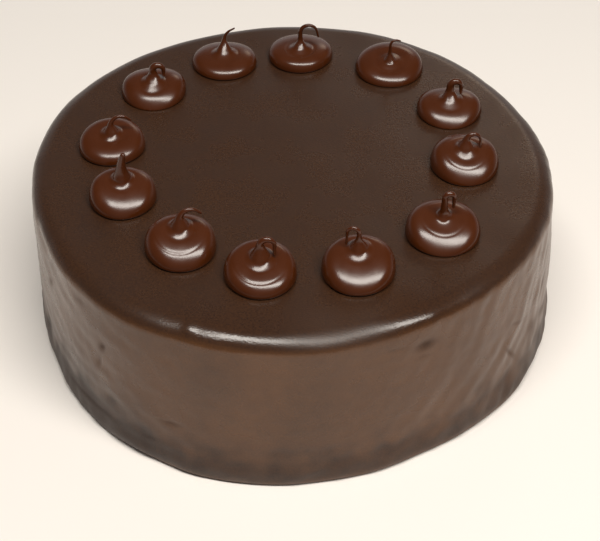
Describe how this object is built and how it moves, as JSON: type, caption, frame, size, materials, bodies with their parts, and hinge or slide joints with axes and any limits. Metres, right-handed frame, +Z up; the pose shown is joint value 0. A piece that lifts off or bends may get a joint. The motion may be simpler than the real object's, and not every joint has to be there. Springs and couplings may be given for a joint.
{
  "type": "chocolate cake",
  "caption": "Round single-tier chocolate cake with a smooth poured glaze, a soft shoulder and a ring of piped ganache drops with curled tips on its flat top.",
  "frame": {"origin": "middle of the base, on the surface that the cake stands on", "axes": "+Z up, +X to the right of the side that faces the viewer, +Y to the back"},
  "size_m": [0.2353, 0.2381, 0.0992],
  "materials": {
    "glaze": "satin poured chocolate glaze",
    "ganache": "glossy piped ganache"
  },
  "bodies": {
    "root": {"glazed_cake": "glaze", "piped_drop_01": "ganache", "piped_drop_02": "ganache", "piped_drop_03": "ganache", "piped_drop_04": "ganache", "piped_drop_05": "ganache", "piped_drop_06": "ganache", "piped_drop_07": "ganache", "piped_drop_08": "ganache", "piped_drop_09": "ganache", "piped_drop_10": "ganache", "piped_drop_11": "ganache", "piped_drop_12": "ganache"}
  },
  "joints": []
}
